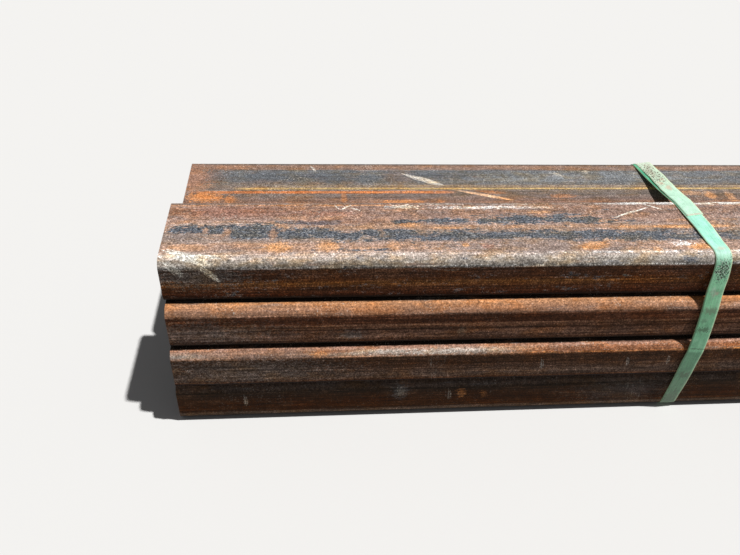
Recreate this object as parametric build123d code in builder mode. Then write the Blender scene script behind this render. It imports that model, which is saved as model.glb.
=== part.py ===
"""Stack of rectangular steel tubing, strapped into a bundle.

Eight mill lengths of rectangular hollow section lie on their wide faces in two columns of four. The
near column's tubes are staggered a little, and the far column ends in a flatter tube, so its top is
lower. Painted steel bands go round the bundle, and each is closed by a crimped seal on the far side,
from where its free end runs on over the top.

Millimetres. X runs along the tubes, Y away from the near side, Z up. The origin is the middle of the
bounding box's floor.
"""

import os
from math import radians, tan

from build123d import *

# Tube section, as sold: 6 x 3 in, and 6 x 2 in for the flatter one
tube_length = 6096.0
tube_width = 152.4
tube_height = 76.2
flat_tube_height = 50.8
wall = 7.94
inner_radius = 7.94
outer_radius = inner_radius + wall

# Weld bead left along the inside of each tube's seam: under the wide face that lies up where the
# seam shows there, so many millimetres behind its middle, and on the tube's floor elsewhere
bead_width = 5.0
bead_height = 1.2
seams_on_top = {"near_tube_top": 1.0, "far_tube_top": -13.5}

# Rows from the top down, and the height of the tube in each
rows = ("top", "second", "third", "bottom")
near_heights = (tube_height, tube_height, tube_height, tube_height)
far_heights = (flat_tube_height, tube_height, tube_height, tube_height)

# Sideways offset of each near tube from the top one, and the gap between it and the far tube
near_fronts = (0.0, -16.7, -27.0, -25.0)
column_gaps = (6.0, 10.0, 16.0, 12.0)

# How far each tube's left end stands from that of the near top tube
near_ends = (0.0, 1.5, 0.2, -2.0)
far_ends = (8.9, -1.2, 3.5, 5.0)

# Banding: 1 in strap, its clearance on the tubes, and how its outer layer lies over the inner one
strap_width = 25.4
strap_thickness = 0.8
strap_clearance = 0.15
lap_below_seal = 40.0
lap_gap = 0.25
lap_ramp = 6.0
lap_top = lap_gap + strap_thickness

# Seal: sheet clip folded round the lap, with two notches in each edge
seal_length = 44.0
seal_thickness = 0.9
seal_clearance = 0.35
seal_lip = 9.0
notch_radius = 3.5
notch_spacing = 14.0
notch_depth = 6.0

# Place of each band along the tubes, at the near top corner, its slants on top and in front, and
# how far behind the near top tube's front its free end lies
strap_stations = {"left": 808.0, "middle": 3060.0, "right": 5270.0}
top_slants = {"left": 0.8, "middle": 1.5, "right": 2.5}
front_slants = {"left": 0.0, "middle": -0.8, "right": 1.2}
free_ends = {"left": 98.0, "middle": 108.0, "right": 90.0}

# The bundle's underside is the bands', and the bands, doubled on the far side, set its width
strap_inside = outer_radius + strap_clearance
strap_outside = strap_inside + strap_thickness
tube_floor = strap_thickness + strap_clearance
far_fronts = tuple(
    front + tube_width + gap for front, gap in zip(near_fronts, column_gaps)
)
all_ends = near_ends + far_ends
centre_x = (min(all_ends) + max(all_ends) + tube_length) / 2
centre_y = (min(near_fronts) + max(far_fronts) + tube_width + lap_top) / 2


def stack_column(column, ends, fronts, heights):
    """Name, left end, front, underside and height of each tube in a column, from the top down."""
    tubes = []
    underside = tube_floor + sum(heights)
    for row, end, front, height in zip(rows, ends, fronts, heights):
        underside -= height
        name = f"{column}_tube_{row}"
        tubes.append((name, end - centre_x, front - centre_y, underside, height))
    return tubes


def build_tube(name, end, front, underside, height):
    """One mill length: a rounded rectangular section with the weld bead inside its seam."""
    middle_y = front + tube_width / 2
    seam_y = middle_y + seams_on_top.get(name, 0.0)
    seam_z = underside + (height - wall if name in seams_on_top else wall)
    with BuildPart() as tube:
        with BuildSketch(Plane.YZ.offset(end)):
            with Locations((middle_y, underside + height / 2)):
                RectangleRounded(tube_width, height, outer_radius)
                RectangleRounded(
                    tube_width - 2 * wall,
                    height - 2 * wall,
                    inner_radius,
                    mode=Mode.SUBTRACT,
                )
            with Locations((seam_y, seam_z)):
                Ellipse(bead_width / 2, bead_height)
        extrude(amount=tube_length)
    tube.part.label = name
    export_step(tube.part, f"parts/{name}.step")


def wrap_corners(tubes):
    """Outline drawn tight round the centres of all the tubes' corner radii, looking along X."""
    with BuildSketch(Plane.YZ) as outline:
        for _, _, front, underside, height in tubes:
            with Locations((front + tube_width / 2, underside + height / 2)):
                Rectangle(tube_width - 2 * outer_radius, height - 2 * outer_radius)
        make_hull()
    return outline


def find_seal_plane(outline, band_plane):
    """Plane on the band's outside, halfway down its longest straight run on the far side.

    Its x axis runs up the band and its z axis points away from the bundle.
    """
    far_edges = outline.sketch.edges().filter_by(lambda edge: edge.center().Y > 0)
    run = far_edges.sort_by(lambda edge: abs((edge @ 1 - edge @ 0).Z))[-1]
    up = (run @ 1 - run @ 0).normalized()
    if up.Z < 0:
        up = -up
    outward = Vector(0, up.Z, -up.Y)
    seat = run @ 0.5 + outward * strap_outside
    drift = (seat - band_plane.origin).dot(band_plane.z_dir) / band_plane.z_dir.X
    return Plane(
        origin=seat - Vector(drift, 0, 0),
        x_dir=band_plane.z_dir.cross(outward),
        z_dir=outward,
    )


def draw_notches(seal_plane):
    """Two pairs of round notches, to be punched through both edges of the seal and the band."""
    edge = strap_width / 2 + seal_clearance + seal_thickness
    with BuildSketch(seal_plane) as notches:
        with GridLocations(notch_spacing, 2 * edge, 2, 2):
            Circle(notch_radius)
    return notches.sketch


def build_strap(name, outline, band_plane, seal_plane, notches, free_end):
    """A flat band drawn tight round the bundle, and the outer layer that ends on the near tube.

    The outer layer leaves the inner one below the seal, goes up through it and over the far column.
    """
    reach = 2 * (tube_width + sum(near_heights))
    lap_plane = Plane(
        origin=seal_plane.origin, x_dir=seal_plane.x_dir, z_dir=-seal_plane.y_dir
    )
    with BuildPart() as strap:
        with BuildSketch(Plane.YZ.offset(band_plane.origin.X)):
            offset(outline.sketch_local, amount=strap_outside)
            offset(outline.sketch_local, amount=strap_inside, mode=Mode.SUBTRACT)
        extrude(amount=reach, both=True)
        with BuildSketch(lap_plane):
            with BuildLine():
                Polyline(
                    (-lap_below_seal - lap_ramp, 0),
                    (-lap_below_seal, lap_top),
                    (lap_ramp, lap_top),
                    (lap_ramp, lap_gap),
                    (lap_ramp - lap_below_seal, lap_gap),
                    (lap_ramp - lap_below_seal, 0),
                    close=True,
                )
            make_face()
        extrude(amount=strap_width, both=True)
        with BuildSketch(Plane.YZ.offset(band_plane.origin.X)):
            offset(outline.sketch_local, amount=strap_outside + lap_top)
            offset(
                outline.sketch_local,
                amount=strap_outside + lap_gap,
                mode=Mode.SUBTRACT,
            )
            with Locations((free_end, seal_plane.origin.Z)):
                Rectangle(
                    reach, reach, align=(Align.MIN, Align.MIN), mode=Mode.INTERSECT
                )
        extrude(amount=reach, both=True)
        with BuildSketch(band_plane):
            Rectangle(2 * reach, 2 * reach)
        extrude(amount=strap_width / 2, both=True, mode=Mode.INTERSECT)
        extrude(notches, amount=notch_depth, both=True, mode=Mode.SUBTRACT)
    strap.part.label = name
    export_step(strap.part, f"parts/{name}.step")


def build_seal(name, seal_plane, notches):
    """A steel clip folded round the lapped band, with its lips behind it, notched with the band."""
    half_sheet = seal_thickness / 2
    side = strap_width / 2 + seal_clearance + half_sheet
    back = -strap_thickness - seal_clearance - half_sheet
    front = lap_top + seal_clearance + half_sheet
    lip_edge = side + half_sheet - seal_lip
    profile_plane = Plane(
        origin=seal_plane.origin, x_dir=seal_plane.y_dir, z_dir=seal_plane.x_dir
    )
    with BuildPart() as seal:
        with BuildSketch(profile_plane):
            with BuildLine():
                Polyline(
                    (lip_edge, back),
                    (side, back),
                    (side, front),
                    (-side, front),
                    (-side, back),
                    (-lip_edge, back),
                )
            trace(line_width=seal_thickness)
        extrude(amount=seal_length / 2, both=True)
        extrude(notches, amount=notch_depth, both=True, mode=Mode.SUBTRACT)
    seal.part.label = name
    export_step(seal.part, f"parts/{name}.step")


os.makedirs("parts", exist_ok=True)
tubes = stack_column("near", near_ends, near_fronts, near_heights)
tubes += stack_column("far", far_ends, far_fronts, far_heights)
for tube in tubes:
    build_tube(*tube)

outline = wrap_corners(tubes)
near_top_corner = (near_fronts[0] - centre_y, tube_floor + sum(near_heights))
for place, station in strap_stations.items():
    band_plane = Plane(
        origin=(station - centre_x, *near_top_corner),
        z_dir=(
            1,
            tan(radians(top_slants[place])),
            -tan(radians(front_slants[place])),
        ),
    )
    seal_plane = find_seal_plane(outline, band_plane)
    notches = draw_notches(seal_plane)
    free_end = near_top_corner[0] + free_ends[place]
    build_strap(
        f"{place}_strap", outline, band_plane, seal_plane, notches, free_end
    )
    build_seal(f"{place}_strap_seal", seal_plane, notches)
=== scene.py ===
from bisect import bisect_right
from math import ceil, cos, pi, radians, sin, sqrt, tan

import bmesh
import bpy
from mathutils import Matrix, Vector


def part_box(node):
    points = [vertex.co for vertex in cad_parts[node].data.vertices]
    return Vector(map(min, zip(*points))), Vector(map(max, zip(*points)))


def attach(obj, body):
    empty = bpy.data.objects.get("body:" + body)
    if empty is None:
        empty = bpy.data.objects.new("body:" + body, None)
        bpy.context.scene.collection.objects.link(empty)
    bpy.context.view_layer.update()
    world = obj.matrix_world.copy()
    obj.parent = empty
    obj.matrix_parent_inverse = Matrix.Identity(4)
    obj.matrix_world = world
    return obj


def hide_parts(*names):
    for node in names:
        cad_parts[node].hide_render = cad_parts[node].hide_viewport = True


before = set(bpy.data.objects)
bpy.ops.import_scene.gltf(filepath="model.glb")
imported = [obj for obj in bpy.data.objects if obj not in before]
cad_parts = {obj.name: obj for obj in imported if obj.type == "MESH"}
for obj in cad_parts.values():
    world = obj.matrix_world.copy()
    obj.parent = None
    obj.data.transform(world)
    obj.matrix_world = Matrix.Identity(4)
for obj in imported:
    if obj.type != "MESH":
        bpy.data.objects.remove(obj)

bpy.context.view_layer.update()


# The viewpoint
# The photograph was taken about a metre from the near column's left end, nearly 0.6 m above the
# bundle's top, looking down on it and slightly to the right.
mm = 0.001
near_low, near_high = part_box("near_tube_top")
left_end, near_front, near_top = near_low.x, near_low.y, near_high.z
camera_offset = Vector((204.3, -732.2, 587.3)) * mm
view_down = 39.99
view_right = 6.72
view_tip = 3.62


def add_object(name, data):
    """Puts a new object in the scene."""
    thing = bpy.data.objects.new(name, data)
    bpy.context.scene.collection.objects.link(thing)
    return thing


camera_data = bpy.data.cameras.new("photo_camera")
camera_data.sensor_width = 36
camera_data.lens = 33.17
camera = add_object("photo_camera", camera_data)
look_down = Matrix.Rotation(radians(90 - view_down), 4, "X")
look_right = Matrix.Rotation(radians(-view_right), 4, "Z")
tip = Matrix.Rotation(radians(view_tip), 4, "Z")
stand = Matrix.Translation(Vector((left_end, near_front, near_top)) + camera_offset)
camera.matrix_world = stand @ look_right @ look_down @ tip
bpy.context.scene.camera = camera


# The near column's top tube
# Hot-rolled rectangular steel tube, welded shut along its length. Mill scale still covers part of
# it in blue-black flakes, the rest has rusted, and its upper corner is scuffed from handling.
wall = 7.94 * mm
bore_overlap = 0.6 * mm
upper_span = 160 * mm
front_span = 80 * mm
edge_drift = 14 * mm
edge_crumble = 14 * mm
edge_chip = 8 * mm
scale_fade = 14 * mm
line_fade = 18 * mm
line_wobble = 6 * mm


def put(tree, kind, feeds=(), **settings):
    """Adds a shader node. Feeds are pairs of an input, by name or number, and a value or output."""
    node = tree.nodes.new("ShaderNode" + kind)
    for name, value in settings.items():
        setattr(node, name, value)
    for socket, feed in feeds:
        if isinstance(feed, bpy.types.NodeSocket):
            tree.links.new(feed, node.inputs[socket])
        else:
            node.inputs[socket].default_value = feed
    return node


def work(tree, operation, first, second=0.0, third=0.0):
    """One step of arithmetic on values."""
    feeds = ((0, first), (1, second), (2, third))
    return put(tree, "Math", feeds, operation=operation).outputs[0]


def times(tree, first, second):
    """One value times another."""
    return work(tree, "MULTIPLY", first, second)


def apart(tree, first, second):
    """How far one value is from another, either way."""
    return work(tree, "ABSOLUTE", work(tree, "SUBTRACT", first, second))


def work_vector(tree, operation, first, second=(0, 0, 0), third=(0, 0, 0)):
    """One step of arithmetic on vectors."""
    feeds = ((0, first), (1, second), (2, third))
    return put(tree, "VectorMath", feeds, operation=operation).outputs[0]


def fade(tree, value, start, end, low=0.0, high=1.0):
    """A soft step from low to high as the value goes from start to end."""
    feeds = ((0, value), (1, start), (2, end), (3, low), (4, high))
    return put(tree, "MapRange", feeds, interpolation_type="SMOOTHSTEP").outputs[0]


def between(tree, value, start, end, soft):
    """A mask that is on from start to end, with soft edges."""
    begun = fade(tree, value, start - soft, start + soft)
    done = fade(tree, value, end + soft, end - soft)
    return times(tree, begun, done)


def sway(tree, pattern, width):
    """A shift of up to half a width either way, as a pattern goes from 0 to 1."""
    return work(tree, "MULTIPLY_ADD", pattern, width, -width / 2)


def lay(tree, share, under, over, blend_type="MIX"):
    """One colour laid over another."""
    feeds = ((0, share), (6, under), (7, over))
    return put(tree, "Mix", feeds, data_type="RGBA", blend_type=blend_type).outputs[2]


def stain(tree, mask, strength, under, tint):
    """A tint laid over a colour where a mask is on."""
    return lay(tree, times(tree, mask, strength), under, (*tint, 1))


def noise(tree, vector, scale, detail, roughness):
    """Noise from 0 to 1, with its bumps about 1 / scale metres across."""
    feeds = (("Vector", vector), ("Scale", scale), ("Detail", detail), ("Roughness", roughness))
    return put(tree, "TexNoise", feeds).outputs[0]


def drawn_noise(tree, vector, scales, detail, roughness):
    """Noise with a scale of its own along each axis, so that it is drawn out or squeezed."""
    return noise(tree, work_vector(tree, "MULTIPLY", vector, scales), 1.0, detail, roughness)


def ramp(tree, value, stops):
    """Colours that follow one another as a value goes from 0 to 1."""
    node = put(tree, "ValToRGB", ((0, value),))
    elements = node.color_ramp.elements
    while len(elements) < len(stops):
        elements.new(0.5)
    for element, (position, colour) in zip(elements, stops):
        element.position = position
        element.color = (*colour, 1)
    return node.outputs[0]


def bands(tree, value, span, stops):
    """Colours that follow one another over a span; each stop's place is in millimetres."""
    positions = [(place * mm / span, colour) for place, colour in stops]
    return ramp(tree, work(tree, "DIVIDE", value, span), positions)


def start_group(name, inputs, outputs):
    """An empty node group with its inputs' kinds and starting values, and its outputs' kinds."""
    group = bpy.data.node_groups.new(name, "ShaderNodeTree")
    for label, (kind, value) in inputs.items():
        socket = group.interface.new_socket(label, in_out="INPUT", socket_type="NodeSocket" + kind)
        socket.default_value = value
    for label, kind in outputs.items():
        group.interface.new_socket(label, in_out="OUTPUT", socket_type="NodeSocket" + kind)
    given = group.nodes.new("NodeGroupInput").outputs
    result = group.nodes.new("NodeGroupOutput").inputs
    return group, given, result


# Where a point lies on its tube: the distances along it, across its wide face and down its
# narrow face, and masks for its upper face, its underside, its sawn ends and its bore. Unrolled
# lays the two faces that show on one flat sheet, and the hidden ones a metre off it, past all marks
tree, given, result = start_group(
    "place_on_tube",
    {
        **dict.fromkeys(("Left end", "Front", "Top", "Height", "Width"), ("Float", 0.0)),
        "Wall": ("Float", wall),
    },
    {
        "Along": "Float",
        "Across": "Float",
        "Down": "Float",
        "Unrolled": "Vector",
        "Upper face": "Float",
        "Underside": "Float",
        "Sawn end": "Float",
        "Bore": "Float",
    },
)
tube_place = tree
where = put(tree, "TexCoord")
point = put(tree, "SeparateXYZ", ((0, where.outputs["Object"]),)).outputs
facing = put(tree, "SeparateXYZ", ((0, where.outputs["Normal"]),)).outputs
along = work(tree, "SUBTRACT", point[0], given["Left end"])
across = work(tree, "SUBTRACT", point[1], given["Front"])
down = work(tree, "SUBTRACT", given["Top"], point[2])
hidden_back = work(tree, "GREATER_THAN", facing[1], 0.5)
hidden_floor = work(tree, "LESS_THAN", facing[2], -0.5)
round_corner = work(tree, "SUBTRACT", across, down)
out_of_sight = work(tree, "ADD", hidden_back, hidden_floor)
unrolled_across = work(tree, "ADD", round_corner, out_of_sight)
unrolled = put(tree, "CombineXYZ", ((0, along), (1, unrolled_across)))
endways = work(tree, "ABSOLUTE", facing[0])
half_width = times(tree, given["Width"], 0.5)
half_height = times(tree, given["Height"], 0.5)
off_middle = apart(tree, across, half_width)
off_level = apart(tree, down, half_height)
to_bore = work(tree, "SUBTRACT", given["Wall"], bore_overlap)
inner_width = work(tree, "SUBTRACT", half_width, to_bore)
inner_height = work(tree, "SUBTRACT", half_height, to_bore)
in_width = work(tree, "LESS_THAN", off_middle, inner_width)
in_height = work(tree, "LESS_THAN", off_level, inner_height)
tree.links.new(along, result["Along"])
tree.links.new(across, result["Across"])
tree.links.new(down, result["Down"])
tree.links.new(unrolled.outputs[0], result["Unrolled"])
tree.links.new(fade(tree, facing[2], 0.2, 0.45), result["Upper face"])
tree.links.new(fade(tree, facing[2], -0.1, -0.5), result["Underside"])
tree.links.new(work(tree, "GREATER_THAN", endways, 0.9), result["Sawn end"])
tree.links.new(times(tree, in_width, in_height), result["Bore"])

# Streaks that the rolls drew along the steel
tree, given, result = start_group(
    "rolled_streaks",
    {
        "Vector": ("Vector", (0, 0, 0)),
        "Along": ("Float", 3.0),
        "Across": ("Float", 150.0),
        "Seed": ("Float", 0.0),
    },
    {"Streaks": "Float"},
)
rolled_streaks = tree
feeds = ((0, given["Along"]), (1, given["Across"]), (2, given["Across"]))
stretch = put(tree, "CombineXYZ", feeds).outputs[0]
shifted = put(tree, "CombineXYZ", ((0, given["Seed"]), (1, given["Seed"]))).outputs[0]
drawn_out = work_vector(tree, "MULTIPLY_ADD", given["Vector"], stretch, shifted)
tree.links.new(noise(tree, drawn_out, 1.0, 4.0, 0.6), result["Streaks"])

# The grain of rust: crumbs and pits from a millimetre to a centimetre, browner where deeper, over
# wider patches that lean to orange or to grey
tree, given, result = start_group(
    "rust_grain",
    {"Vector": ("Vector", (0, 0, 0)), "Contrast": ("Float", 1.0)},
    {"Tone": "Color", "Height": "Float"},
)
rust_grain = tree
crumbs = noise(tree, given["Vector"], 400.0, 4.0, 0.8)
blots = noise(tree, given["Vector"], 105.0, 4.0, 0.7)
patches = drawn_noise(tree, given["Vector"], (18, 46, 46), 4.0, 0.7)
pits = fade(tree, noise(tree, given["Vector"], 270.0, 2.0, 0.6), 0.37, 0.3)
grain = work(tree, "MULTIPLY_ADD", blots, 0.25, times(tree, crumbs, 0.75))
spread = work(tree, "SUBTRACT", grain, 0.5)
depth = times(tree, spread, times(tree, given["Contrast"], 8.0))
depth = work(tree, "MULTIPLY_ADD", pits, -0.7, depth)
lean = fade(tree, patches, 0.44, 0.68, -0.12, 0.8)
red, green, blue = (1.0, 0.1), (1.04, -0.1), (1.08, -0.42)
tones = []
for power, shift in (red, green, blue):
    tone = work(tree, "MULTIPLY_ADD", lean, shift, times(tree, depth, power))
    tones.append(work(tree, "EXPONENT", tone))
tone = put(tree, "CombineColor", enumerate(tones))
tree.links.new(tone.outputs[0], result["Tone"])
tree.links.new(grain, result["Height"])

# Mill scale that has flaked: what is left of it inside a band, with chipped edges, and a paler
# rim round each flake, a painted highlight on its lifted edge
tree, given, result = start_group(
    "flaked_scale",
    {
        "Vector": ("Vector", (0, 0, 0)),
        "Band": ("Float", 1.0),
        "Cover": ("Float", 0.5),
        "Seed": ("Float", 0.0),
    },
    {"Mask": "Float", "Rim": "Float"},
)
flaked_scale = tree
shifted = put(tree, "CombineXYZ", ((0, given["Seed"]), (1, given["Seed"]))).outputs[0]
drawn_out = work_vector(tree, "MULTIPLY_ADD", given["Vector"], (20, 75, 75), shifted)
patches = noise(tree, drawn_out, 1.0, 3.0, 0.6)
chips = drawn_noise(tree, given["Vector"], (120, 230, 230), 5.0, 0.8)
worn = work(tree, "ADD", chips, work(tree, "MULTIPLY_ADD", patches, 0.9, -0.45))
least = work(tree, "MULTIPLY_ADD", given["Band"], -0.42, 0.93)
least = work(tree, "MULTIPLY_ADD", given["Cover"], -0.17, least)
above = work(tree, "SUBTRACT", worn, least)
rim_outside = fade(tree, above, -0.06, -0.01)
rim_inside = fade(tree, above, 0.02, 0.0)
tree.links.new(fade(tree, above, -0.01, 0.045), result["Mask"])
tree.links.new(times(tree, rim_outside, rim_inside), result["Rim"])

mark_inputs = {
    "Unrolled": ("Vector", (0, 0, 0)),
    "Centre": ("Vector", (0, 0, 0)),
    "Half size": ("Vector", (0.01, 0.01, 1)),
    "Turn": ("Float", 0.0),
}


def turn_to_mark(tree, given):
    """The surface turned about a mark's centre, and how many half sizes from there a point is."""
    from_centre = work_vector(tree, "SUBTRACT", given["Unrolled"], given["Centre"])
    feeds = (("Vector", from_centre), ("Angle", given["Turn"]))
    turned = put(tree, "VectorRotate", feeds, rotation_type="Z_AXIS").outputs[0]
    scaled = work_vector(tree, "DIVIDE", turned, given["Half size"])
    reach = put(tree, "VectorMath", ((0, scaled),), operation="LENGTH").outputs["Value"]
    return turned, reach


# One ragged mark laid on the unrolled surface: a rust bloom or a scuff
tree, given, result = start_group(
    "ragged_mark", {**mark_inputs, "Ragged": ("Float", 0.8)}, {"Mask": "Float"}
)
ragged_mark = tree
tear_depth = 7.0
_, reach = turn_to_mark(tree, given)
tatters = drawn_noise(tree, given["Unrolled"], (150, 300, 0), 5.0, 0.85)
torn = times(tree, work(tree, "SUBTRACT", tatters, 0.5), given["Ragged"])
ragged_reach = work(tree, "MULTIPLY_ADD", torn, tear_depth, reach)
tree.links.new(fade(tree, ragged_reach, 1.1, 0.75), result["Mask"])

# Scratches that run side by side in one direction inside an area
tree, given, result = start_group(
    "scratch_area", {**mark_inputs, "Cover": ("Float", 0.5)}, {"Mask": "Float"}
)
scratch_area = tree
turned, reach = turn_to_mark(tree, given)
grooves = drawn_noise(tree, turned, (22, 620, 0), 3.0, 0.65)
broken = drawn_noise(tree, turned, (160, 420, 0), 3.0, 0.7)
scored = times(tree, grooves, 0.65)
scored = work(tree, "MULTIPLY_ADD", broken, 0.35, scored)
covered = times(tree, fade(tree, reach, 1.0, 0.35), given["Cover"])
least = work(tree, "MULTIPLY_ADD", covered, -0.3, 0.72)
above = work(tree, "SUBTRACT", scored, least)
tree.links.new(fade(tree, above, 0.0, 0.04), result["Mask"])


def gather_marks(tree, flat, places, group, last):
    """A mask of many marks: each is along, across, length, width, strength and any turn."""
    total = 0.0
    for along, across, length, width, strength, *turn in places:
        feeds = (
            ("Unrolled", flat),
            ("Centre", (along * mm, across * mm, 0)),
            ("Half size", (length / 2 * mm, width / 2 * mm, 1)),
            ("Turn", radians(turn[0] if turn else 0)),
            last,
        )
        mask = put(tree, "Group", feeds, node_tree=group).outputs[0]
        total = work(tree, "MAXIMUM", total, times(tree, mask, strength))
    return total


def lay_marks(tree, colour, flat, kinds, group, setting):
    """Marks over a colour: each kind is a tint, its strength, its setting and its marks."""
    for tint, strength, value, places in kinds:
        mask = gather_marks(tree, flat, places, group, (setting, value))
        colour = stain(tree, mask, strength, colour, tint)
    return colour


def lay_scale(tree, colour, place, surface, wide_place, seed, scale):
    """Mill scale over a colour, and its mask. Each patch is middle, spread, start, end and cover."""
    mask = 0.0
    rim = 0.0
    for middle, spread, start, end, cover in scale:
        off = apart(tree, wide_place, middle * mm)
        inside = fade(tree, off, spread * 1.5 * mm, 0.0)
        stretch = between(tree, place["Along"], start * mm, end * mm, scale_fade)
        stretch = times(tree, times(tree, stretch, inside), place["Upper face"])
        feeds = (("Vector", surface), ("Band", stretch), ("Cover", cover), ("Seed", seed + middle))
        flakes = put(tree, "Group", feeds, node_tree=flaked_scale).outputs
        mask = work(tree, "MAXIMUM", mask, flakes["Mask"])
        rim = work(tree, "MAXIMUM", rim, flakes["Rim"])
    # The rim round each flake is painted paler: a painted highlight on its raised edge
    colour = stain(tree, rim, 0.35, colour, (0.60, 0.50, 0.44))
    flecks = fade(tree, drawn_noise(tree, surface, (300, 560, 560), 3.0, 0.7), 0.42, 0.6)
    blue_black = lay(tree, flecks, (0.03, 0.037, 0.05, 1), (0.20, 0.203, 0.212, 1))
    return lay(tree, mask, colour, blue_black), mask


def lay_lines(tree, colour, place, unrolled_across, crumbly, short_streaks, lines):
    """Drawn lines: each is a tint, middle, width, start and end, strength, and how broken it is."""
    wobble = apart(tree, crumbly, 0.5)
    gaps = work(tree, "MULTIPLY_ADD", crumbly, 0.5, times(tree, short_streaks, 0.5))
    for tint, middle, width, start, end, strength, broken in lines:
        off = apart(tree, unrolled_across, middle * mm)
        off = work(tree, "MULTIPLY_ADD", wobble, line_wobble, off)
        line = fade(tree, off, width * 0.8 * mm, width * 0.3 * mm)
        stretch = between(tree, place["Along"], start * mm, end * mm, line_fade)
        line = times(tree, line, stretch)
        line = times(tree, line, fade(tree, gaps, broken, broken + 0.06))
        colour = stain(tree, line, strength, colour, tint)
    return colour


def weather_steel(tree, colour, place, surface, fine_streaks, grain, on_top):
    """Streaks, crumbs of rust and dust over a colour, painted shade below, and the rust's height."""
    force = fade(tree, place["Upper face"], 0.0, 1.0, 4.6, 1.6)
    streak_tone = times(tree, work(tree, "SUBTRACT", fine_streaks, 0.5), force)
    colour = lay(tree, 1.0, colour, work(tree, "EXPONENT", streak_tone), "MULTIPLY")
    contrast = fade(tree, place["Upper face"], 0.0, 1.0, 1.5 * grain, grain)
    feeds = (("Vector", surface), ("Contrast", contrast))
    rust = put(tree, "Group", feeds, node_tree=rust_grain).outputs
    colour = lay(tree, 1.0, colour, rust["Tone"], "MULTIPLY")
    dust = noise(tree, surface, 420.0, 1.0, 0.5)
    dusty = work(tree, "MULTIPLY_ADD", noise(tree, surface, 14.0, 3.0, 0.6), -0.35, 0.885)
    speck = fade(tree, work(tree, "SUBTRACT", dust, dusty), 0.0, 0.03, 0.0, 0.55)
    colour = stain(tree, speck, on_top, colour, (0.82, 0.74, 0.64))
    # Faces turned down go near black: painted shade in the gaps between the tubes
    colour = stain(tree, place["Underside"], 0.92, colour, (0.012, 0.008, 0.006))
    return colour, rust["Height"]


def cut_ends(tree, colour, place, surface, blush, wander):
    """Saw lines and rust on a tube's ends, and its darker bore."""
    saw_lines = drawn_noise(tree, surface, (1, 60, 900), 3.0, 0.6)
    cut_steel = ((0.3, (0.14, 0.10, 0.075)), (0.5, (0.30, 0.26, 0.23)), (0.7, (0.46, 0.43, 0.40)))
    sawn = ramp(tree, saw_lines, cut_steel)
    sawn = lay(tree, fade(tree, blush, 0.42, 0.62), sawn, (0.30, 0.14, 0.07, 1))
    colour = lay(tree, place["Sawn end"], colour, sawn)
    rusted = fade(tree, wander, 0.35, 0.65)
    bore_rust = lay(tree, rusted, (0.07, 0.065, 0.065, 1), (0.13, 0.07, 0.045, 1))
    bore = times(tree, place["Bore"], work(tree, "SUBTRACT", 1.0, place["Sawn end"]))
    return lay(tree, bore, colour, bore_rust)


def start_material(name):
    """A material with nothing in its tree yet."""
    material = bpy.data.materials.new(name)
    material.use_nodes = True
    material.node_tree.nodes.clear()
    return material, material.node_tree


def finish_material(tree, feeds, strength, distance, height):
    """Gives a material its surface, made uneven by a height that changes over it."""
    bump = put(tree, "Bump", (("Strength", strength), ("Distance", distance), ("Height", height)))
    shader = put(tree, "BsdfPrincipled", (*feeds, ("Normal", bump.outputs[0])))
    put(tree, "OutputMaterial", ((0, shader.outputs[0]),))


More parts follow.
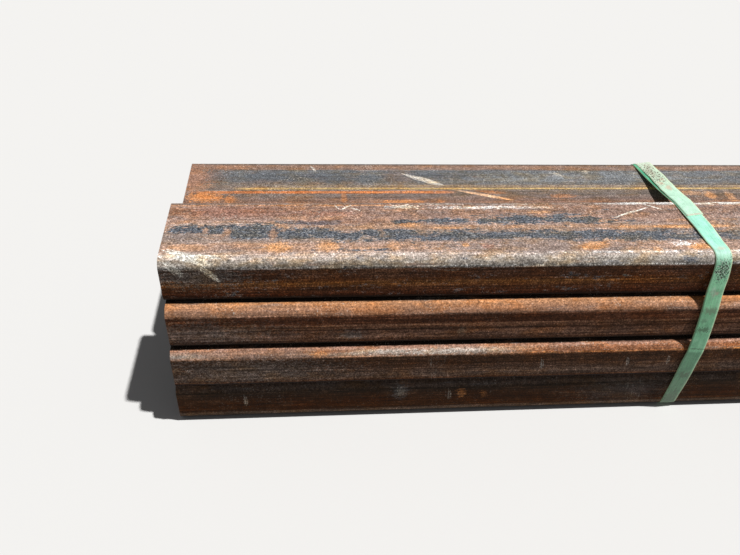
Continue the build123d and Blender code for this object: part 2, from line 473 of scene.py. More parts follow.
def dress_tube(
    name,
    upper,
    front,
    seed,
    scale=(),
    lines=(),
    marks=(),
    scratches=(),
    straggle=1.0,
    bloom=0.4,
    grain=1.0,
):
    """Gives a tube its rust, mill scale, drawn lines and marks, its sawn ends and its darker bore.

    Places are in millimetres: along from the left end, and across the upper face, with the front
    face below zero. Turns are in degrees. Upper and front give the colours that follow one another
    over each face.
    """
    low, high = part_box(name)
    material, tree = start_material("rusted_" + name)
    feeds = (
        ("Left end", low.x),
        ("Front", low.y),
        ("Top", high.z),
        ("Height", high.z - low.z),
        ("Width", high.y - low.y),
    )
    place = put(tree, "Group", feeds, node_tree=tube_place).outputs
    surface = put(tree, "TexCoord").outputs["Object"]
    unrolled = place["Unrolled"]
    unrolled_across = put(tree, "SeparateXYZ", ((0, unrolled),)).outputs[1]

    streaks = []
    for along, across, shift in ((2.5, 70.0, 0), (8.0, 330.0, 5), (22.0, 240.0, 9)):
        feeds = (("Vector", surface), ("Along", along), ("Across", across), ("Seed", seed + shift))
        streaks.append(put(tree, "Group", feeds, node_tree=rolled_streaks).outputs[0])
    wander, fine_streaks, short_streaks = streaks
    crumbly = drawn_noise(tree, surface, (90, 190, 190), 4.0, 0.8)
    drift = sway(tree, wander, edge_drift * straggle)
    crumbled = sway(tree, crumbly, edge_crumble * straggle)
    ragged = work(tree, "ADD", crumbled, sway(tree, short_streaks, edge_chip * straggle))
    wide_place = work(tree, "ADD", place["Across"], work(tree, "ADD", drift, ragged))
    narrow_place = work(tree, "ADD", place["Down"], times(tree, ragged, 0.3))
    wide = bands(tree, wide_place, upper_span, upper)
    narrow = bands(tree, narrow_place, front_span, front)
    colour = lay(tree, place["Upper face"], narrow, wide)

    on_top = work(tree, "MULTIPLY_ADD", place["Upper face"], 0.7, 0.3)
    blush = drawn_noise(tree, surface, (11, 30, 30), 5.0, 0.75)
    orange = fade(tree, blush, 0.52, 0.66, 0.0, bloom)
    colour = stain(tree, orange, on_top, colour, (0.52, 0.27, 0.15))
    film = fade(tree, drawn_noise(tree, surface, (8, 62, 62), 5.0, 0.8), 0.54, 0.66, 0.0, 0.5)
    colour = stain(tree, film, place["Upper face"], colour, (0.20, 0.18, 0.17))

    colour, scale_mask = lay_scale(tree, colour, place, surface, wide_place, seed, scale)
    colour = lay_lines(tree, colour, place, unrolled_across, crumbly, short_streaks, lines)
    colour = lay_marks(tree, colour, unrolled, marks, ragged_mark, "Ragged")
    colour = lay_marks(tree, colour, unrolled, scratches, scratch_area, "Cover")
    colour, rust_height = weather_steel(tree, colour, place, surface, fine_streaks, grain, on_top)
    colour = cut_ends(tree, colour, place, surface, blush, wander)

    roughness = fade(tree, scale_mask, 0.0, 1.0, 0.86, 0.5)
    height = work(tree, "MULTIPLY_ADD", scale_mask, 0.3, rust_height)
    height = work(tree, "MULTIPLY_ADD", fine_streaks, 0.3, height)
    feeds = (("Base Color", colour), ("Roughness", roughness), ("Specular IOR Level", 0.15))
    finish_material(tree, feeds, 0.8, 0.9 * mm, height)
    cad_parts[name].data.materials[0] = material


orange_rust = (0.60, 0.27, 0.11)
cream_scuff = (0.76, 0.68, 0.58)
white_flakes_and_glint = (0.90, 0.86, 0.80)
seam_brown = (0.22, 0.11, 0.05)
grey_film = (0.25, 0.205, 0.185)
dull_grey = (0.20, 0.17, 0.145)
strap_shadow_brown = (0.07, 0.03, 0.015)
orange_bloom = (0.65, 0.335, 0.16)
bare_brown = (0.45, 0.27, 0.18)
plum_rust = (0.27, 0.14, 0.10)
red_rust = (0.47, 0.17, 0.10)
blue_scale = (0.11, 0.125, 0.15)
cream_splash = (0.80, 0.74, 0.63)
right_end = 6000
dress_tube(
    "near_tube_top",
    upper=(
        (0, (0.27, 0.23, 0.19)),
        (6, (0.45, 0.385, 0.32)),
        (11, (0.60, 0.48, 0.40)),
        (15, (0.64, 0.495, 0.41)),
        (19, (0.46, 0.31, 0.235)),
        (27, (0.46, 0.285, 0.20)),
        (38, (0.41, 0.27, 0.205)),
        (46, (0.31, 0.23, 0.19)),
        (66, (0.28, 0.21, 0.175)),
        (76, (0.44, 0.265, 0.17)),
        (84, (0.38, 0.255, 0.20)),
        (100, (0.36, 0.225, 0.17)),
        (118, (0.265, 0.165, 0.122)),
        (131, (0.37, 0.225, 0.165)),
        (138, (0.27, 0.18, 0.135)),
        (152, (0.18, 0.12, 0.10)),
    ),
    front=(
        (0, (0.49, 0.42, 0.36)),
        (6, (0.45, 0.41, 0.355)),
        (12, (0.38, 0.35, 0.315)),
        (15.5, (0.10, 0.046, 0.026)),
        # From 31 to 49 mm an orange-brown band runs along the face: partly rust, partly a painted sheen
        (31, (0.105, 0.043, 0.021)),
        (36, (0.17, 0.066, 0.024)),
        (40, (0.27, 0.112, 0.035)),
        (45, (0.24, 0.095, 0.032)),
        (49, (0.12, 0.047, 0.02)),
        (60, (0.10, 0.034, 0.015)),
        # From 66 mm the face goes near black: painted shade at its lower corner, over the gap
        (66, (0.04, 0.014, 0.007)),
        (74, (0.012, 0.008, 0.006)),
    ),
    scale=(
        (74, 15, 6, 160, 1.25),
        (63, 15, 90, 250, 1.3),
        (56, 17, 235, right_end, 1.0),
        (90, 8, 150, 260, 0.8),
        (91, 11, 330, 450, 0.7),
        (95, 19, 450, 650, 0.8),
        (94, 12, 620, 715, 0.5),
        (93, 10, 960, right_end, 0.7),
        (24, 5, 200, 330, 0.5),
    ),
    lines=(
        (orange_rust, 135, 3.0, 0, 340, 0.8, 0.44),
        (white_flakes_and_glint, 137, 4.0, 330, 700, 0.5, 0.5),
        (white_flakes_and_glint, 139, 8.0, 700, right_end, 0.85, 0.44),
        (cream_scuff, 88, 2.0, 0, 150, 0.4, 0.5),
        (cream_scuff, 13, 4.5, 0, 90, 0.9, 0.46),
        (cream_scuff, 14, 4.0, 190, 380, 0.7, 0.52),
        (white_flakes_and_glint, 14, 4.5, 540, 900, 0.85, 0.5),
        (seam_brown, -45, 1.8, 60, 320, 0.7, 0.45),
    ),
    marks=(
        (grey_film, 0.65, 0.8, ((530, 27, 330, 34, 1), (990, 76, 330, 76, 1.2), (980, 30, 280, 20, 0.7))),
        (dull_grey, 0.75, 0.9, ((50, -28, 130, 38, 1),)),
        # A dark patch on the front beside the left band: painted shadow of the band
        (strap_shadow_brown, 0.6, 0.8, ((800, -40, 180, 18, 1),)),
        (orange_bloom, 0.9, 0.5, (
            (38, 32, 60, 16, 0.5),
            (162, 31, 40, 26, 1),
            (232, 31, 34, 24, 0.9),
            (325, 32, 22, 24, 0.5),
            (430, 33, 11, 11, 1),
            (620, 29, 46, 20, 0.9, -10),
            (711, 20, 14, 12, 0.7),
            (782, 26, 46, 17, 1),
            (355, 83, 34, 11, 0.9),
            (410, 75, 44, 8, 0.75),
            (700, 75, 60, 7, 0.8),
            (790, 76, 130, 9, 1),
            (560, 115, 38, 9, 0.7),
        )),
        (bare_brown, 0.8, 0.7, ((58, 71, 9, 16, 0.9), (89, 67, 12, 20, 0.9), (154, 62, 13, 24, 1))),
        (plum_rust, 0.6, 0.7, ((110, 118, 230, 30, 1), (250, 92, 150, 20, 0.6))),
        (red_rust, 0.6, 0.9, ((462, 30, 20, 10, 0.6, 10), (85, 118, 120, 26, 0.3), (240, 112, 90, 12, 0.4))),
        (white_flakes_and_glint, 0.9, 1.2, (
            (350, 130, 42, 9, 0.9),
            (480, 128, 160, 7, 0.7),
            (757, 32, 26, 9, 1),
            (30, 12, 60, 8, 0.7, 5),
        )),
        (blue_scale, 0.8, 0.9, ((758, -2, 26, 14, 0.9), (640, -6, 40, 6, 0.5))),
    ),
    scratches=(
        (cream_splash, 1.0, 1.0, (
            (40, 10, 130, 32, 1.1, 24),
            (66, -18, 84, 18, 1.1, 50),
            (20, -12, 60, 22, 0.7, 48),
            (64, 12, 70, 12, 1.1, 12),
        )),
        (cream_scuff, 0.9, 1.4, (
            (694, 108, 66, 5, 1.2, -27),
            (722, 119, 66, 4, 1.1, -24),
            (748, 129, 54, 4, 1.1, 30),
            (262, 129, 34, 4, 1, -38),
            (276, 125, 26, 4, 0.9, 28),
            (248, 131, 20, 4, 0.8, 60),
        )),
    ),
    seed=3,
)


# The near column's lower tubes
# The same tube three more times, each set a little further out than the top one. Only the lit
# rounding of their upper corners and their shaded narrow faces show.
lit_rust = (0.70, 0.36, 0.20)
grey_spot = (0.30, 0.27, 0.24)
dull_brown = (0.30, 0.17, 0.11)
worn_grey = (0.27, 0.215, 0.18)
pale_rust = (0.68, 0.42, 0.29)
dress_tube(
    "near_tube_second",
    upper=(
        (0, (0.38, 0.19, 0.11)),
        (5, (0.43, 0.215, 0.12)),
        (11, (0.50, 0.245, 0.122)),
        (16, (0.53, 0.25, 0.115)),
        # From 18 mm the wide face is near black: painted shade under the tube above
        (18, (0.02, 0.012, 0.008)),
        (40, (0.03, 0.02, 0.014)),
        (60, (0.32, 0.18, 0.12)),
    ),
    front=(
        (0, (0.42, 0.21, 0.12)),
        (7, (0.33, 0.165, 0.098)),
        (12, (0.24, 0.125, 0.078)),
        (14.5, (0.115, 0.044, 0.022)),
        (29, (0.13, 0.049, 0.023)),
        (33, (0.28, 0.14, 0.08)),
        (36, (0.15, 0.065, 0.035)),
        (38.5, (0.25, 0.125, 0.072)),
        (41, (0.05, 0.02, 0.011)),
        (44, (0.21, 0.105, 0.064)),
        (55, (0.23, 0.122, 0.078)),
        (64, (0.14, 0.068, 0.04)),
        # Near black at the foot: painted shade at the lower corner, over the gap
        (72, (0.012, 0.008, 0.006)),
    ),
    lines=(
        (lit_rust, -4, 5, 150, right_end, 0.35, 0.6),
        (white_flakes_and_glint, 3, 4, 0, right_end, 0.4, 0.72),
    ),
    marks=(
        (grey_spot, 0.5, 1.0, ((265, -52, 34, 18, 1), (70, -50, 26, 18, 0.6), (430, -48, 14, 14, 0.9))),
        (dull_brown, 0.6, 0.9, ((60, -5, 170, 16, 1),)),
        (worn_grey, 0.5, 0.9, ((50, -45, 200, 44, 1),)),
        (pale_rust, 0.6, 0.7, ((905, -3, 170, 16, 1),)),
    ),
    straggle=0.3,
    grain=0.75,
    seed=17,
)
edge_rust = (0.62, 0.27, 0.09)
shaded_brown = (0.26, 0.14, 0.095)
ash_grey = (0.27, 0.22, 0.185)
deep_rust = (0.38, 0.13, 0.045)
dress_tube(
    "near_tube_third",
    upper=(
        (0, (0.42, 0.265, 0.19)),
        (6, (0.48, 0.29, 0.20)),
        (9, (0.48, 0.25, 0.165)),
        # From 11.5 mm the wide face is near black: painted shade under the tube above
        (11.5, (0.02, 0.012, 0.008)),
        (40, (0.03, 0.02, 0.014)),
        (60, (0.32, 0.18, 0.12)),
    ),
    front=(
        (0, (0.48, 0.30, 0.22)),
        (8, (0.42, 0.245, 0.165)),
        (12, (0.36, 0.19, 0.115)),
        (14.5, (0.085, 0.041, 0.022)),
        (30, (0.083, 0.037, 0.018)),
        (40, (0.15, 0.082, 0.052)),
        (53, (0.22, 0.138, 0.098)),
        (60, (0.18, 0.105, 0.07)),
        # The brighter stop at 63 mm is a painted highlight along the lower corner; from 66 mm the face goes
        # near black, painted shade over the gap
        (63, (0.25, 0.108, 0.054)),
        (66, (0.05, 0.022, 0.012)),
        (73, (0.012, 0.008, 0.006)),
    ),
    lines=((edge_rust, -11, 3.5, 520, right_end, 0.9, 0.45), (white_flakes_and_glint, -3, 6, 0, 560, 0.5, 0.68)),
    marks=(
        (cream_scuff, 0.75, 1.5, ((20, -4, 60, 8, 0.6), (300, -2, 150, 8, 0.8), (430, -4, 210, 10, 0.9))),
        (shaded_brown, 0.7, 0.9, ((125, 0, 170, 26, 1),)),
        (ash_grey, 0.5, 0.9, ((110, -38, 280, 48, 1),)),
        (deep_rust, 0.8, 0.8, ((690, -5, 340, 18, 1), (240, 0, 70, 8, 0.8), (860, -2, 160, 12, 1))),
        (orange_rust, 0.8, 0.8, ((218, -5, 26, 12, 0.9),)),
    ),
    scratches=(
        (cream_scuff, 0.6, 0.8, (
            (566, -36, 46, 12, 1, 78),
            (705, -35, 40, 12, 0.9, 74),
            (772, -34, 40, 12, 0.7, 80),
        )),
        (cream_scuff, 0.4, 0.6, ((400, -44, 760, 50, 0.6, 88),)),
    ),
    straggle=0.3,
    grain=0.85,
    seed=29,
)
bare_grey = (0.24, 0.23, 0.22)
dress_tube(
    "near_tube_bottom",
    upper=((0, (0.15, 0.105, 0.08)), (152, (0.28, 0.16, 0.11))),
    front=(
        # The whole face is painted dark, darkest under the tube above and at its foot: painted shade near the
        # floor
        (0, (0.10, 0.07, 0.05)),
        (12, (0.055, 0.036, 0.025)),
        (16, (0.03, 0.017, 0.010)),
        (25, (0.042, 0.019, 0.009)),
        (45, (0.058, 0.020, 0.006)),
        (57, (0.064, 0.025, 0.009)),
        # The paler stops at 61 and 65 mm are a painted highlight along the lower corner
        (61, (0.34, 0.22, 0.15)),
        (65, (0.30, 0.20, 0.14)),
        (69, (0.04, 0.027, 0.02)),
    ),
    # This line along the lower corner near the left end is a painted highlight
    lines=((white_flakes_and_glint, -63, 3, 0, 170, 0.6, 0.6),),
    marks=(
        (orange_rust, 0.7, 0.9, ((450, -28, 22, 12, 0.8, 70), (487, -32, 16, 10, 0.6, 70))),
        (bare_grey, 0.5, 1.0, ((350, -18, 24, 36, 0.9), (720, -36, 160, 46, 0.4))),
    ),
    scratches=(
        (cream_scuff, 0.5, 0.8, (
            (105, -32, 50, 16, 1, 84),
            (350, -18, 44, 26, 0.8, 86),
            (430, -30, 50, 20, 0.6, 80),
        )),
        (cream_scuff, 0.25, 0.6, ((740, -36, 220, 60, 0.9, 80),)),
    ),
    grain=0.8,
    seed=41,
)


# The far column
# A flatter tube lies on top of three more of the common size. Its wide face has kept a broad belt
# of blue-grey mill scale between two rusted edges, with the weld line showing beside it.
mill_yellow = (0.62, 0.42, 0.17)
faded_yellow = (0.45, 0.33, 0.20)
weld_orange = (0.66, 0.23, 0.08)
weld_grey = (0.42, 0.32, 0.25)
lifted_scale = (0.20, 0.135, 0.105)
end_rust = (0.42, 0.215, 0.135)
smooth_scale = (0.105, 0.108, 0.115)
rubbed_scale = (0.35, 0.35, 0.34)
far_bloom = (0.58, 0.24, 0.09)
pale_bloom = (0.74, 0.40, 0.21)
peach_scuff = (0.78, 0.47, 0.28)
dress_tube(
    "far_tube_top",
    upper=(
        (0, (0.22, 0.13, 0.09)),
        (20, (0.28, 0.15, 0.095)),
        (34, (0.20, 0.14, 0.115)),
        (47, (0.18, 0.14, 0.115)),
        (60, (0.18, 0.14, 0.115)),
        (68, (0.23, 0.165, 0.125)),
        (74, (0.20, 0.165, 0.14)),
        (80, (0.16, 0.155, 0.15)),
        (100, (0.155, 0.158, 0.16)),
        (119, (0.165, 0.165, 0.165)),
        (123, (0.27, 0.175, 0.13)),
        (134, (0.33, 0.20, 0.14)),
        (139, (0.18, 0.13, 0.105)),
        (143, (0.075, 0.06, 0.052)),
    ),
    front=(
        (0, (0.16, 0.12, 0.10)),
        (15, (0.12, 0.07, 0.05)),
        (30, (0.16, 0.09, 0.06)),
        (50, (0.09, 0.045, 0.03)),
    ),
    lines=(
        (mill_yellow, 63, 5.0, 85, right_end, 0.85, 0.36),
        (faded_yellow, 71, 4.0, 140, right_end, 0.6, 0.44),
        (weld_orange, 52, 7.0, 20, 430, 0.9, 0.38),
        (weld_grey, 57, 3.0, 0, right_end, 0.5, 0.44),
    ),
    marks=(
        (lifted_scale, 0.95, 0.7, ((10, 98, 110, 66, 1), (350, 100, 60, 44, 0.6), (140, 82, 90, 16, 0.5))),
        (end_rust, 0.75, 0.9, ((6, 92, 56, 100, 1), (60, 128, 70, 16, 0.6))),
        (smooth_scale, 0.75, 1.0, ((190, 100, 250, 34, 0.9), (430, 104, 150, 20, 0.7))),
        (rubbed_scale, 0.5, 1.2, ((620, 96, 230, 30, 0.8), (800, 100, 200, 30, 0.8))),
        (far_bloom, 0.9, 0.6, (
            (32, 38, 60, 30, 1),
            (72, 30, 18, 26, 0.6),
            (350, 22, 76, 16, 0.95),
            (254, 34, 10, 34, 0.6),
            (410, 22, 16, 12, 0.6),
            (500, 52, 50, 9, 0.6, 8),
            (620, 40, 46, 12, 0.5),
        )),
        (pale_bloom, 0.9, 0.7, ((850, 48, 40, 14, 0.6), (880, 42, 18, 26, 0.8), (916, 38, 16, 30, 0.6))),
        (white_flakes_and_glint, 0.8, 1.2, ((255, 16, 30, 6, 0.8), (630, 108, 20, 9, 0.5, 30), (686, 117, 12, 6, 0.6))),
    ),
    scratches=(
        (cream_scuff, 0.75, 1.0, ((392, 90, 130, 22, 1.2, 28), (205, 126, 36, 8, 1, 60))),
        (peach_scuff, 0.8, 1.2, ((490, 42, 150, 13, 1.1, 18),)),
    ),
    straggle=0.45,
    bloom=0.2,
    seed=53,
    grain=0.8,
)
for number, name in enumerate(("far_tube_second", "far_tube_third", "far_tube_bottom")):
    dress_tube(
        name,
        upper=((0, (0.32, 0.19, 0.13)), (76, (0.26, 0.19, 0.155)), (152, (0.34, 0.20, 0.135))),
        front=(
            (0, (0.28, 0.17, 0.12)),
            (15, (0.13, 0.07, 0.048)),
            (38, (0.17, 0.088, 0.056)),
            (60, (0.12, 0.06, 0.038)),
        ),
        scale=((76, 40, 60, right_end, 0.8),),
        seed=67 + 11 * number,
    )


# The bands
# Steel strap an inch wide, painted green. Each strip starts at its cut end on the near tube, goes
# back over the far column and down through its seal, and then once round the bundle beneath itself.
corner_radius = 15.9 * mm
band_width = 25.4 * mm
band_thickness = 0.8 * mm
band_clearance = 0.15 * mm
lap_below_seal = 40 * mm
lap_ramp = 6 * mm
lap_gap = 0.25 * mm
lap_rise = lap_gap + band_thickness
inner_end = lap_below_seal - lap_ramp
seal_clearance = 0.35 * mm
seal_thickness = 0.9 * mm
notch_radius = 3.5 * mm
notch_along = 7 * mm
notch_centre = band_width / 2 + seal_clearance + seal_thickness
row_step = 1.2 * mm
rows_in_bow = 24
squares_across = 8
paint_span = 1600 * mm
still = ((0, 0),)


def tube_corner(name, side, level):
    """Middle of a tube's rounded corner: side is front or back, level is top or bottom."""
    low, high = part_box(name)
    y = low.y + corner_radius if side == "front" else high.y - corner_radius
    z = high.z - corner_radius if level == "top" else low.z + corner_radius
    return Vector((y, z))


def run_between(start, start_radius, end, end_radius):
    """Ends of the straight run that leaves one bend and meets the next, and the way it faces."""
    step = end - start
    lean = (start_radius - end_radius) / step.length
    direction = step.normalized()
    sideways = Vector((direction.y, -direction.x))
    outward = direction * lean + sideways * sqrt(1 - lean * lean)
    return start + outward * start_radius, end + outward * end_radius, outward


def wind_route(bends, bows):
    """Points round the bundle from the far side up, each with its distance and the way it faces.

    A bow, in millimetres, lets the run after a bend stand off, or sag where it is negative.
    """
    runs = []
    for (start, start_radius), (end, end_radius) in zip(bends, bends[1:] + bends[:1]):
        runs.append(run_between(start, start_radius, end, end_radius))
    points = []
    for number, (start, end, outward) in enumerate(runs):
        bow = bows.get(number, 0) * mm
        count = rows_in_bow if bow else 1
        for step in range(count + 1):
            off = bow * sin(pi * step / count)
            points.append((start.lerp(end, step / count) + outward * off, outward))
        following = (number + 1) % len(runs)
        centre, radius = bends[following]
        turn = outward.angle_signed(runs[following][2])
        count = ceil(abs(turn) * radius / row_step) + 1
        for step in range(1, count):
            spoke = Matrix.Rotation(-turn * step / count, 2) @ outward
            points.append((centre + spoke * radius, spoke))
    points.append(points[0])
    distance = 0.0
    route = [(0.0, *points[0])]
    for (before, _), (point, outward) in zip(points, points[1:]):
        distance += (point - before).length
        route.append((distance, point, outward))
    return route


def find_on_route(route, distance):
    """The point at a distance along the route, and the way it faces."""
    distance %= route[-1][0]
    number = bisect_right(route, distance, key=lambda stop: stop[0])
    start, point, outward = route[number - 1]
    end, next_point, next_outward = route[min(number, len(route) - 1)]
    share = (distance - start) / (end - start) if end > start else 0.0
    return point.lerp(next_point, share), outward.lerp(next_outward, share).normalized()


def ease(stops, distance):
    """A value that goes smoothly from one stop to the next; each stop is a distance and a value."""
    if distance <= stops[0][0] * mm:
        return stops[0][1]
    for (start, value), (end, next_value) in zip(stops, stops[1:]):
        if distance <= end * mm:
            share = (distance - start * mm) / ((end - start) * mm)
            return value + (next_value - value) * share * share * (3 - 2 * share)
    return stops[-1][1]


def half_strip(above_seat, around):
    """Half the strip's width so far above its seal's middle: less beside a punched notch."""
    if above_seat < -around / 2:
        above_seat += around
    off_notch = min(notch_radius, abs(abs(above_seat) - notch_along))
    return min(band_width / 2, notch_centre - sqrt(notch_radius**2 - off_notch**2))


def wind_band(
    place,
    bends,
    station,
    top_slant,
    front_slant,
    free_end,
    bows=None,
    twists=still,
    shifts=still,
    lifts=still,
):
    """One strip along its route. Slants and twists are in degrees, shifts and lifts in mm."""
    route = wind_route(bends, bows or {})
    around = route[-1][0]
    seat = (bends[1][0] - bends[0][0]).length / 2
    tail = min(route, key=lambda stop: (stop[1] - Vector((near_front + free_end, near_top))).length)
    span = tail[0] - seat + around + inner_end
    shape = bmesh.new()
    rows = ceil(span / row_step)
    bmesh.ops.create_grid(shape, x_segments=rows, y_segments=squares_across, size=0.5)
    run = shape.verts.layers.float.new("run")
    side = shape.verts.layers.float.new("side")
    for vert in shape.verts:
        distance = (vert.co.x + 0.5) * span
        place_on_route = tail[0] - distance
        above_seat = place_on_route - seat
        across = vert.co.y * 2 * half_strip(above_seat, around)
        twist = radians(ease(twists, distance))
        lift = lap_rise * min(1, max(0, (above_seat + lap_below_seal + lap_ramp) / lap_ramp))
        lift += ease(lifts, distance) * mm + band_width / 2 * abs(sin(twist)) + across * sin(twist)
        point, outward = find_on_route(route, place_on_route)
        point = point + outward * (lift + band_thickness)
        level_x = station - (point.x - near_front) * tan(radians(top_slant))
        level_x += (point.y - near_top) * tan(radians(front_slant)) + ease(shifts, distance) * mm
        vert[run] = distance
        vert[side] = across
        vert.co = (left_end + level_x + across * cos(twist), point.x, point.y)
    bmesh.ops.reverse_faces(shape, faces=shape.faces)
    mesh = bpy.data.meshes.new(place + "_band")
    shape.to_mesh(mesh)
    shape.free()
    mesh.shade_smooth()
    band = add_object(place + "_band", mesh)
    solid = band.modifiers.new("thickness", "SOLIDIFY")
    solid.thickness = band_thickness
    solid.offset = -1
    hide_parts(place + "_strap")
    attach(band, "root")
    return band


def paint_strap(name, colours, pitted, blotches, pale_marks, dark_marks, scuffs):
    """Green paint along a band, from its free end on, with the rust and dirt that sit on it."""
    material, tree = start_material(name)
    run = put(tree, "Attribute", attribute_name="run").outputs["Fac"]
    side = put(tree, "Attribute", attribute_name="side").outputs["Fac"]
    flat = put(tree, "CombineXYZ", ((0, run), (1, side))).outputs[0]
    colour = bands(tree, run, paint_span, colours)

    streaks = drawn_noise(tree, flat, (26, 620, 0), 4.0, 0.7)
    clouds = noise(tree, flat, 70.0, 4.0, 0.7)
    crumbs = noise(tree, flat, 330.0, 3.0, 0.75)
    tone = work(tree, "MULTIPLY_ADD", streaks, 1.1, work(tree, "MULTIPLY_ADD", clouds, 0.9, -1.0))
    tone = work(tree, "ADD", sway(tree, crumbs, 0.5), tone)
    colour = lay(tree, 1.0, colour, work(tree, "EXPONENT", tone), "MULTIPLY")
    worn = fade(tree, clouds, 0.5, 0.68, 0.0, 0.35)
    colour = lay(tree, worn, colour, (0.66, 0.86, 0.66, 1))

    # Both edges are paler: paint worn from the slit edges, and partly a painted highlight
    off_edge = work(tree, "SUBTRACT", band_width / 2, work(tree, "ABSOLUTE", side))
    off_edge = work(tree, "MULTIPLY_ADD", crumbs, -2.2 * mm, off_edge)
    edge = fade(tree, off_edge, 0.4 * mm, -0.9 * mm)
    colour = stain(tree, edge, 0.55, colour, (0.70, 0.80, 0.46))
    # A brighter line on the right edge: a painted highlight where it faces the lamp
    edge_glint = fade(tree, side, band_width / 2 - 1.3 * mm, band_width / 2 - 0.5 * mm, 0.0, 0.75)
    colour = lay(tree, edge_glint, colour, (0.88, 0.95, 0.62, 1))

    area = gather_marks(tree, flat, pitted, ragged_mark, ("Ragged", 0.5))
    pit_noise = noise(tree, flat, 330.0, 2.0, 0.6)
    above = work(tree, "SUBTRACT", pit_noise, work(tree, "MULTIPLY_ADD", area, -0.22, 0.72))
    pits = fade(tree, above, 0.0, 0.05)
    hearts = fade(tree, above, 0.05, 0.1)
    colour = lay_marks(tree, colour, flat, blotches, ragged_mark, "Ragged")
    colour = stain(tree, pits, 0.7, colour, (0.24, 0.13, 0.09))
    colour = stain(tree, hearts, 0.85, colour, (0.05, 0.035, 0.03))
    mask = gather_marks(tree, flat, pale_marks, ragged_mark, ("Ragged", 0.8))
    colour = lay(tree, mask, colour, (0.74, 0.58, 0.47, 1))
    mask = gather_marks(tree, flat, dark_marks, ragged_mark, ("Ragged", 0.7))
    speckle = drawn_noise(tree, flat, (480, 560, 0), 2.0, 0.6)
    colour = stain(tree, mask, fade(tree, speckle, 0.46, 0.5), colour, (0.04, 0.045, 0.035))
    colour = stain(tree, mask, fade(tree, speckle, 0.43, 0.39), colour, (0.80, 0.84, 0.74))
    mask = gather_marks(tree, flat, scuffs, scratch_area, ("Cover", 0.8))
    colour = lay(tree, mask, colour, (0.70, 0.76, 0.68, 1))

    bare = work(tree, "MAXIMUM", pits, edge)
    roughness = fade(tree, bare, 0.0, 1.0, 0.46, 0.8)
    height = work(tree, "MULTIPLY_ADD", streaks, 0.3, times(tree, clouds, 0.5))
    height = work(tree, "MULTIPLY_ADD", pits, -0.35, height)
    feeds = (("Base Color", colour), ("Roughness", roughness), ("Specular IOR Level", 0.25))
    finish_material(tree, feeds, 0.5, 0.5 * mm, height)
    return material


peach_rust = (0.78, 0.56, 0.40)
brown_stain = (0.46, 0.33, 0.23)
grey_smear = (0.33, 0.46, 0.30)
black_smear = (0.12, 0.18, 0.11)
dust_smear = (0.40, 0.42, 0.34)
rust_spot = (0.70, 0.48, 0.32)
dirt_smear = (0.34, 0.30, 0.20)
left_paint = paint_strap(
    "green_paint_left",
    colours=(
        (0, (0.60, 0.88, 0.66)),
        (8, (0.60, 0.93, 0.71)),
        (80, (0.60, 0.93, 0.70)),
        (115, (0.64, 0.84, 0.62)),
        (190, (0.68, 0.84, 0.64)),
        (215, (0.78, 0.84, 0.68)),
        # Darker from 300 mm round the back and bottom to 780 mm: painted shade towards the floor
        (300, (0.30, 0.55, 0.38)),
        (780, (0.42, 0.70, 0.43)),
        (840, (0.55, 0.96, 0.62)),
        (900, (0.46, 0.93, 0.58)),
        (960, (0.38, 0.86, 0.52)),
        (1020, (0.36, 0.84, 0.48)),
        (1085, (0.40, 0.86, 0.53)),
        (1105, (0.54, 0.90, 0.72)),
        (1125, (0.42, 0.92, 0.70)),
        (1200, (0.45, 0.93, 0.72)),
        # From 1225 mm the inner layer under the lap is dark green: painted shade under the outer layer
        (1225, (0.08, 0.38, 0.24)),
        (1285, (0.08, 0.40, 0.25)),
        (1320, (0.11, 0.52, 0.30)),
    ),
    pitted=((155, -2, 95, 24, 1), (60, 0, 60, 18, 0.3), (985, 2, 30, 20, 0.3)),
    blotches=(
        (peach_rust, 0.7, 1.0, ((96, 2, 18, 10, 1), (118, -4, 14, 9, 1), (132, 4, 12, 8, 0.8))),
        (brown_stain, 0.5, 1.0, ((165, -3, 40, 12, 0.9), (188, 3, 20, 12, 0.8))),
        (grey_smear, 0.75, 1.0, ((1011, 2, 12, 22, 1), (1042, 2, 9, 20, 0.7), (878, 2, 14, 18, 0.8))),
        (black_smear, 0.7, 1.0, ((975, 0, 9, 20, 1), (938, 0, 2.5, 26, 0.9), (992, -4, 8, 10, 0.5))),
        (dust_smear, 0.5, 1.0, ((815, 0, 40, 24, 0.9),)),
    ),
    pale_marks=((3, 0, 4, 26, 0.7), (1113, 1, 7, 13, 0.5), (1040, 3, 8, 6, 0.5)),
    dark_marks=((1078, 1.5, 33, 21, 1.1), (1098, 11, 9, 4, 0.9)),
    scuffs=((1040, -2, 50, 16, 0.35, 3),),
)
plain_paint = paint_strap(
    "green_paint_worn",
    colours=(
        (0, (0.46, 0.78, 0.56)),
        (200, (0.40, 0.74, 0.50)),
        # Darkest at 800 mm, low round the bundle: painted shade towards the floor
        (800, (0.28, 0.56, 0.35)),
        (1100, (0.36, 0.76, 0.50)),
        (1300, (0.34, 0.76, 0.52)),
    ),
    pitted=((150, 0, 90, 22, 0.8), (1180, 0, 70, 22, 0.4), (980, 0, 160, 22, 0.4)),
    blotches=(
        (rust_spot, 0.6, 1.0, ((120, 2, 26, 10, 0.8), (1150, -3, 20, 10, 0.8))),
        (dirt_smear, 0.7, 1.0, ((1000, 0, 10, 30, 0.9), (930, 0, 12, 30, 0.9))),
    ),
    pale_marks=((3, 0, 4, 26, 0.7),),
    dark_marks=((1110, -3, 20, 12, 0.8),),
    scuffs=((1108, -3, 26, 16, 1, 60),),
)

tight = corner_radius + band_clearance
corners = (
    ("far_tube_bottom", "back", "bottom"),
    ("far_tube_top", "back", "bottom"),
    ("far_tube_top", "back", "top"),
    ("near_tube_top", "back", "top"),
    ("near_tube_top", "front", "top"),
    ("near_tube_second", "front", "top"),
    ("near_tube_third", "front", "top"),
    ("near_tube_third", "front", "bottom"),
    ("near_tube_bottom", "front", "bottom"),
)
tight_bends = [(tube_corner(*corner), tight) for corner in corners]

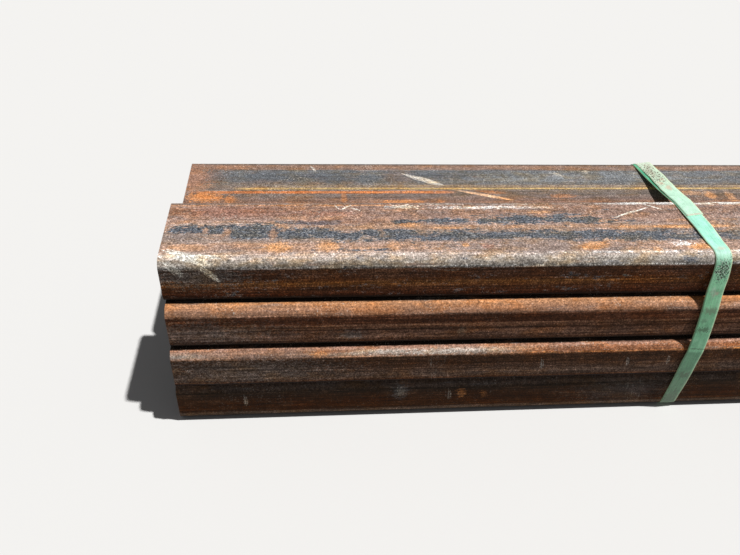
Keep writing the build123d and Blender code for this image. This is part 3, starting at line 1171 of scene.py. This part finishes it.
# The left band is a little slack: it lifts off the near top tube, curves past the second one
# without touching it, and lies with its right edge raised, its inner layer sagging under the lap.
lift_off = 0.5 * mm
easy_curve = 22 * mm
curve_set_in = 20 * mm
stand_off = 2 * mm
slack_bends = list(tight_bends)
slack_bends[4] = (tight_bends[4][0], tight + lift_off)
slack_bends[5] = (tight_bends[5][0] + Vector((curve_set_in, 0)), tight + easy_curve)
slack_bends[6] = (tight_bends[6][0], tight + stand_off)
slack_bends[7] = (tight_bends[7][0], tight + stand_off)
left_band = wind_band(
    "left",
    slack_bends,
    station=808 * mm,
    top_slant=0.8,
    front_slant=0,
    free_end=95.5 * mm,
    bows={2: -1, 3: 2.2, 4: 0.3},
    twists=(
        (0, 8),
        (200, 8),
        (250, 0),
        (800, 0),
        (900, 6),
        (1060, 5),
        (1100, 0),
        (1170, 8),
        (1370, 8),
        (1425, 0),
    ),
    shifts=(
        (0, -3.5),
        (60, -3.5),
        (90, -2.5),
        (115, 0),
        (150, 3),
        (200, 3.5),
        (240, 0),
        (840, 0),
        (900, -1.5),
        (960, 0),
        (1040, -2),
        (1080, 0.5),
        (1113, 0),
        (1132, -2.5),
        (1150, -3.5),
        (1205, -5.5),
        (1250, -6),
        (1290, -4.8),
        (1330, -2.5),
        (1400, -1.5),
        (1450, 0),
    ),
    lifts=((0, 0), (1230, 0), (1280, -1), (1330, -1.5), (1400, 0)),
)
left_band.data.materials.append(left_paint)
for place, station, top_slant, front_slant, free_end in (
    ("middle", 3060 * mm, 1.5, -0.8, 108 * mm),
    ("right", 5270 * mm, 2.5, 1.2, 90 * mm),
):
    band = wind_band(place, tight_bends, station, top_slant, front_slant, free_end)
    band.data.materials.append(plain_paint)


# The seals
# A clip of zinc-coated steel sheet is folded round the lap of each band. Both its edges are
# notched together with the strip inside it, which holds the two layers fast.
zinc, tree = start_material("dull_zinc")
surface = put(tree, "TexCoord").outputs["Object"]
spangle = noise(tree, surface, 160.0, 2.0, 0.5)
bloom = noise(tree, surface, 60.0, 4.0, 0.7)
scores = drawn_noise(tree, surface, (60, 60, 1400), 3.0, 0.6)
colour = lay(tree, fade(tree, spangle, 0.4, 0.6), (0.27, 0.275, 0.28, 1), (0.36, 0.365, 0.365, 1))
colour = lay(tree, fade(tree, scores, 0.56, 0.66, 0.0, 0.5), colour, (0.46, 0.47, 0.47, 1))
colour = lay(tree, fade(tree, bloom, 0.55, 0.68, 0.0, 0.8), colour, (0.30, 0.17, 0.10, 1))
dull = fade(tree, bloom, 0.5, 0.65, 0.42, 0.75)
metal = fade(tree, bloom, 0.55, 0.66, 0.6, 0.1)
feeds = (("Base Color", colour), ("Roughness", dull), ("Metallic", metal))
finish_material(tree, feeds, 0.4, 0.3 * mm, spangle)
for place in ("left", "middle", "right"):
    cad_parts[place + "_strap_seal"].data.materials[0] = zinc


# The floor and the light
# A plain pale floor, one small lamp from high on the right, and even grey light from all round.
# The camera and reflections see floor and air paler than the light that they give to the steel.
lamp_height = 72
lamp_lean = 3.5


def seen_directly(tree):
    """A mask that is on for the camera, in reflections and through glass."""
    rays = put(tree, "LightPath").outputs
    seen = work(tree, "MAXIMUM", rays["Is Camera Ray"], rays["Is Glossy Ray"])
    return work(tree, "MAXIMUM", seen, rays["Is Transmission Ray"])


floor_mesh = bpy.data.meshes.new("floor")
shape = bmesh.new()
bmesh.ops.create_grid(shape, x_segments=1, y_segments=1, size=40)
shape.to_mesh(floor_mesh)
shape.free()
floor = add_object("floor", floor_mesh)
floor_finish, tree = start_material("pale_floor")
pale = lay(tree, seen_directly(tree), (0.135, 0.13, 0.125, 1), (0.80, 0.79, 0.77, 1))
matt = put(tree, "BsdfDiffuse", ((0, pale),))
put(tree, "OutputMaterial", ((0, matt.outputs[0]),))
floor_mesh.materials.append(floor_finish)

world = bpy.data.worlds.new("even_light")
bpy.context.scene.world = world
world.use_nodes = True
tree = world.node_tree
tree.nodes.clear()
grey = lay(tree, seen_directly(tree), (0.105, 0.106, 0.11, 1), (0.88, 0.88, 0.87, 1))
sky = put(tree, "Background", ((0, grey), (1, 1.0)))
put(tree, "OutputWorld", ((0, sky.outputs[0]),))

lamp_data = bpy.data.lights.new("soft_key", "SUN")
lamp_data.energy = 3.4
lamp_data.angle = radians(1.5)
lamp = add_object("soft_key", lamp_data)
lamp.rotation_euler = (radians(lamp_lean), radians(90 - lamp_height), 0)
bpy.context.scene.view_settings.view_transform = "Standard"

bpy.context.view_layer.update()
